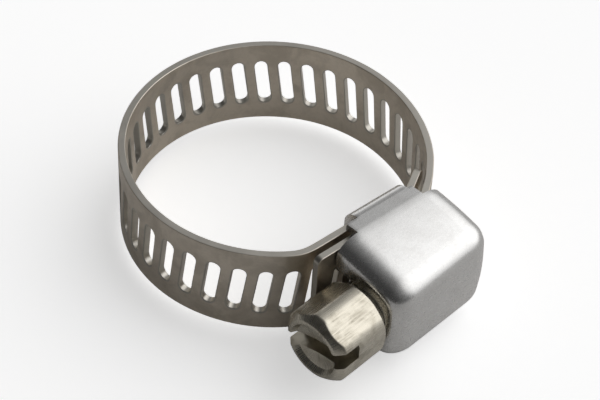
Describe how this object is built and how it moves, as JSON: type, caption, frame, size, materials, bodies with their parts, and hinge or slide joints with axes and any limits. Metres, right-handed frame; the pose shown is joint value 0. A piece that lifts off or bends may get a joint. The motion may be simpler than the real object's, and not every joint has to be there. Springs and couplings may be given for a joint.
{
  "type": "hose clamp",
  "caption": "Worm-drive hose clamp: a perforated steel band whose tail is drawn through a pressed housing by a slotted hex-head screw, closing the ring on a hose.",
  "frame": {"origin": "on the axis of the hose that the ring holds, half way across the band", "axes": "+Z along the hose axis, -Y towards the housing, -X towards the screw's head, so the tail enters the housing from +X"},
  "size_m": [0.0242, 0.0304, 0.0098],
  "materials": {
    "band_steel": "perforated stainless strip, satin warm grey with brighter cut edges and light handling scratches",
    "housing_steel": "pressed stainless sheet, satin and slightly bead-blasted, smoother and darker on its drawn folds",
    "screw_nickel": "turned steel screw with bright slightly yellow plating and fine tool lines along its axis"
  },
  "bodies": {
    "clamp_base": {"housing": "housing_steel", "band_fixed_end": "band_steel"},
    "screw": {"screw": "screw_nickel"},
    "tongue": {"band_end_tongue": "band_steel"},
    "tail": {"band_tail": "band_steel"},
    "bend_1": {"band_bend_1": "band_steel"},
    "bend_2": {"band_bend_2": "band_steel"},
    "link_1": {"band_link_1": "band_steel"},
    "link_2": {"band_link_2": "band_steel"},
    "link_3": {"band_link_3": "band_steel"},
    "link_4": {"band_link_4": "band_steel"},
    "link_5": {"band_link_5": "band_steel"},
    "link_6": {"band_link_6": "band_steel"}
  },
  "joints": [
    {"name": "screw_turn", "type": "hinge", "parent": "clamp_base", "child": "screw", "pos_m": [0.0027, -0.0142, 0], "axis": [0.9957, 0.0924, 0], "range_deg": [0, 720]},
    {"name": "tail_slide", "type": "slide", "parent": "clamp_base", "child": "tail", "axis": [-1, 0, 0], "range_m": [0, 0.00395]},
    {"name": "tongue_bend", "type": "hinge", "parent": "clamp_base", "child": "tongue", "pos_m": [0.0048, -0.0103, 0], "axis": [0, 0, 1], "range_deg": [0, 16.05]},
    {"name": "tail_bend_1", "type": "hinge", "parent": "tail", "child": "bend_1", "pos_m": [0.00543, -0.01135, 0], "axis": [0, 0, 1], "range_deg": [-36.27, 0]},
    {"name": "tail_bend_2", "type": "hinge", "parent": "bend_1", "child": "bend_2", "pos_m": [0.00702, -0.01019, 0], "axis": [0, 0, 1], "range_deg": [-8.05, 0]},
    {"name": "link_6_bend", "type": "hinge", "parent": "bend_2", "child": "link_6", "pos_m": [0.00843, -0.00881, 0], "axis": [0, 0, 1], "range_deg": [0, 26.52]},
    {"name": "link_5_bend", "type": "hinge", "parent": "link_6", "child": "link_5", "pos_m": [0.01175, 0.00022, 0], "axis": [0, 0, 1], "range_deg": [0, 3.47]},
    {"name": "link_4_bend", "type": "hinge", "parent": "link_5", "child": "link_4", "pos_m": [0.00769, 0.00888, 0], "axis": [0, 0, 1], "range_deg": [0, 3.47]},
    {"name": "link_1_bend", "type": "hinge", "parent": "clamp_base", "child": "link_1", "pos_m": [-0.00566, -0.0103, 0], "axis": [0, 0, 1], "range_deg": [-4.13, 0]},
    {"name": "link_2_bend", "type": "hinge", "parent": "link_1", "child": "link_2", "pos_m": [-0.01144, -0.00268, 0], "axis": [0, 0, 1], "range_deg": [-3.47, 0]},
    {"name": "link_3_bend", "type": "hinge", "parent": "link_2", "child": "link_3", "pos_m": [-0.00965, 0.00671, 0], "axis": [0, 0, 1], "range_deg": [-3.47, 0]}
  ],
  "couplings": [
    {"joint": "tail_slide", "follows": "screw_turn", "m_per_rad": 0.00031353},
    {"joint": "tongue_bend", "follows": "screw_turn", "ratio": 0.022222},
    {"joint": "tail_bend_1", "follows": "screw_turn", "ratio": -0.050299},
    {"joint": "tail_bend_2", "follows": "screw_turn", "ratio": -0.011111},
    {"joint": "link_6_bend", "follows": "screw_turn", "ratio": 0.036761},
    {"joint": "link_5_bend", "follows": "screw_turn", "ratio": 0.0047453},
    {"joint": "link_4_bend", "follows": "screw_turn", "ratio": 0.0047453},
    {"joint": "link_1_bend", "follows": "screw_turn", "ratio": -0.0056685},
    {"joint": "link_2_bend", "follows": "screw_turn", "ratio": -0.0047453},
    {"joint": "link_3_bend", "follows": "screw_turn", "ratio": -0.0047453}
  ]
}
